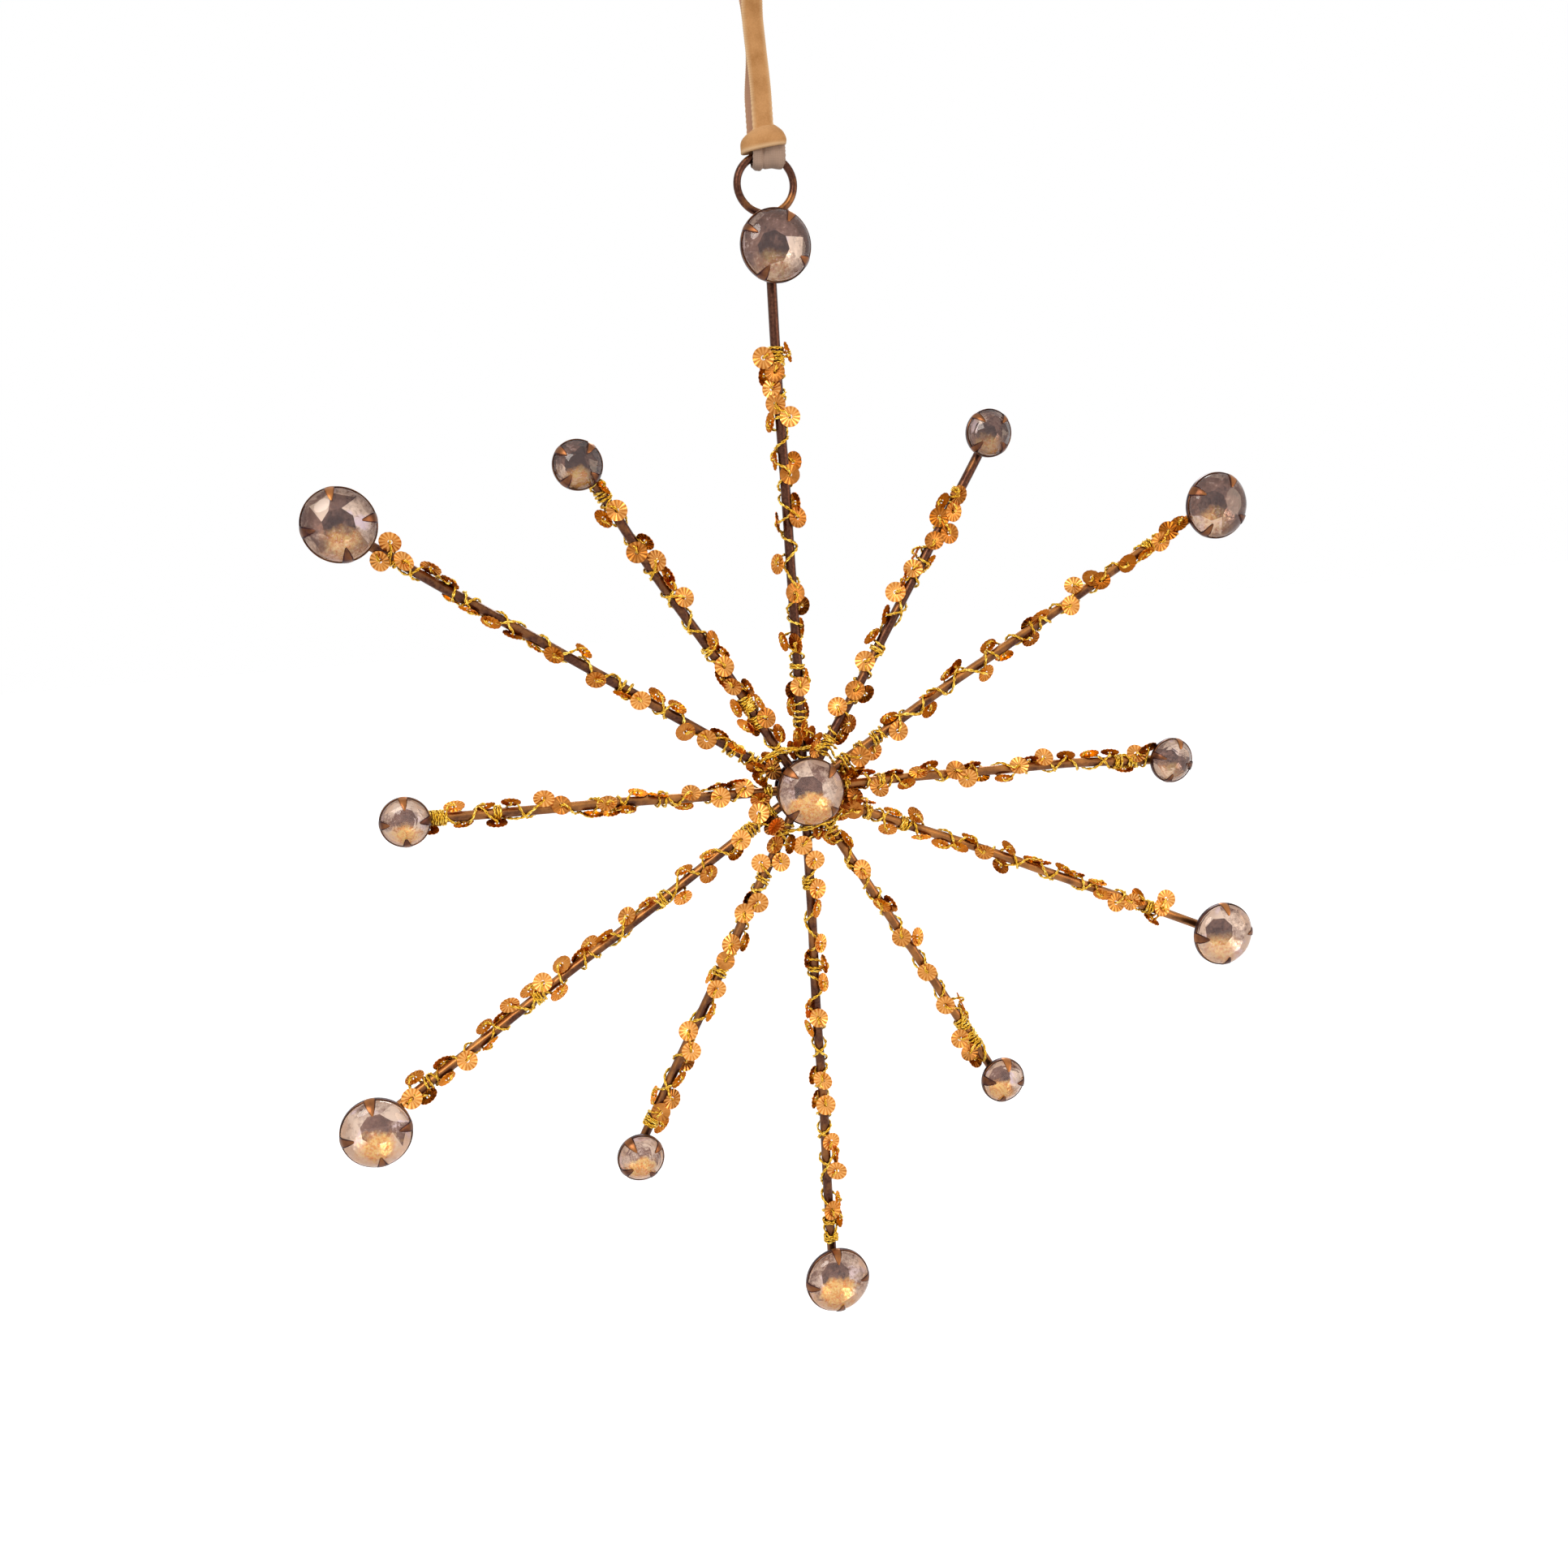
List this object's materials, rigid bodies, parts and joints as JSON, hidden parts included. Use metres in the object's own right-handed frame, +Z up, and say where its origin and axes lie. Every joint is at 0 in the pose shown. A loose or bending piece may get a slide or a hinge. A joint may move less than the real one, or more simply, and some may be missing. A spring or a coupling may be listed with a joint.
{
  "type": "beaded star ornament",
  "caption": "Hanging star of wound metal rods with claw-set glass stones and sequins, hung by a ring and a hitched velvet ribbon loop.",
  "frame": {"origin": "inner top of the ribbon loop, where a hook carries the ornament", "axes": "+Z up along the hanging star's longest way, -Y out of the star's front, +X to the right seen from the front"},
  "size_m": [0.2009, 0.0106, 0.2763],
  "materials": {
    "bronze_rod": "bronzed brown wire, satin",
    "bronze_cup": "dark bronze plating, satin",
    "mauve_glass": "polished mauve-brown glass",
    "gold_thread": "metallic gold thread",
    "copper_sequin": "embossed copper film",
    "velvet_ribbon": "tan velvet pile"
  },
  "bodies": {
    "ribbon": {"ribbon_loop": "velvet_ribbon"},
    "neck": {"ribbon_neck": "velvet_ribbon"},
    "hitch": {"ribbon_hitch": "velvet_ribbon"},
    "star": {"rod_top_long": "bronze_rod", "rod_upper_right_short": "bronze_rod", "rod_upper_right_long": "bronze_rod", "rod_right_short": "bronze_rod", "rod_lower_right_long": "bronze_rod", "rod_lower_right_short": "bronze_rod", "rod_bottom_long": "bronze_rod", "rod_lower_left_short": "bronze_rod", "rod_lower_left_long": "bronze_rod", "rod_left_short": "bronze_rod", "rod_upper_left_long": "bronze_rod", "rod_upper_left_short": "bronze_rod", "hub_disc": "bronze_rod", "hanging_ring": "bronze_rod", "claw_cup_top_long": "bronze_cup", "glass_stone_top_long": "mauve_glass", "claw_cup_upper_right_short": "bronze_cup", "glass_stone_upper_right_short": "mauve_glass", "claw_cup_upper_right_long": "bronze_cup", "glass_stone_upper_right_long": "mauve_glass", "claw_cup_right_short": "bronze_cup", "glass_stone_right_short": "mauve_glass", "claw_cup_lower_right_long": "bronze_cup", "glass_stone_lower_right_long": "mauve_glass", "claw_cup_lower_right_short": "bronze_cup", "glass_stone_lower_right_short": "mauve_glass", "claw_cup_bottom_long": "bronze_cup", "glass_stone_bottom_long": "mauve_glass", "claw_cup_lower_left_short": "bronze_cup", "glass_stone_lower_left_short": "mauve_glass", "claw_cup_lower_left_long": "bronze_cup", "glass_stone_lower_left_long": "mauve_glass", "claw_cup_left_short": "bronze_cup", "glass_stone_left_short": "mauve_glass", "claw_cup_upper_left_long": "bronze_cup", "glass_stone_upper_left_long": "mauve_glass", "claw_cup_upper_left_short": "bronze_cup", "glass_stone_upper_left_short": "mauve_glass", "claw_cup_centre": "bronze_cup", "glass_stone_centre": "mauve_glass", "sequin_thread_top_long": "gold_thread", "sequin_thread_upper_right_short": "gold_thread", "sequin_thread_upper_right_long": "gold_thread", "sequin_thread_right_short": "gold_thread", "sequin_thread_lower_right_long": "gold_thread", "sequin_thread_lower_right_short": "gold_thread", "sequin_thread_bottom_long": "gold_thread", "sequin_thread_lower_left_short": "gold_thread", "sequin_thread_lower_left_long": "gold_thread", "sequin_thread_left_short": "gold_thread", "sequin_thread_upper_left_long": "gold_thread", "sequin_thread_upper_left_short": "gold_thread"}
  },
  "joints": [
    {"name": "ribbon_twist", "type": "hinge", "parent": "ribbon", "child": "neck", "pos_m": [0, 0, -0.02275], "axis": [0, 0, 1], "range_deg": [-180, 180]},
    {"name": "hitch_fold", "type": "hinge", "parent": "neck", "child": "hitch", "pos_m": [0, 0, -0.0289], "axis": [1, 0, 0], "range_deg": [-80, 80]},
    {"name": "ring_slide", "type": "hinge", "parent": "hitch", "child": "star", "pos_m": [0, 0, -0.04145], "axis": [0, 1, 0], "range_deg": [-90, 90]}
  ]
}
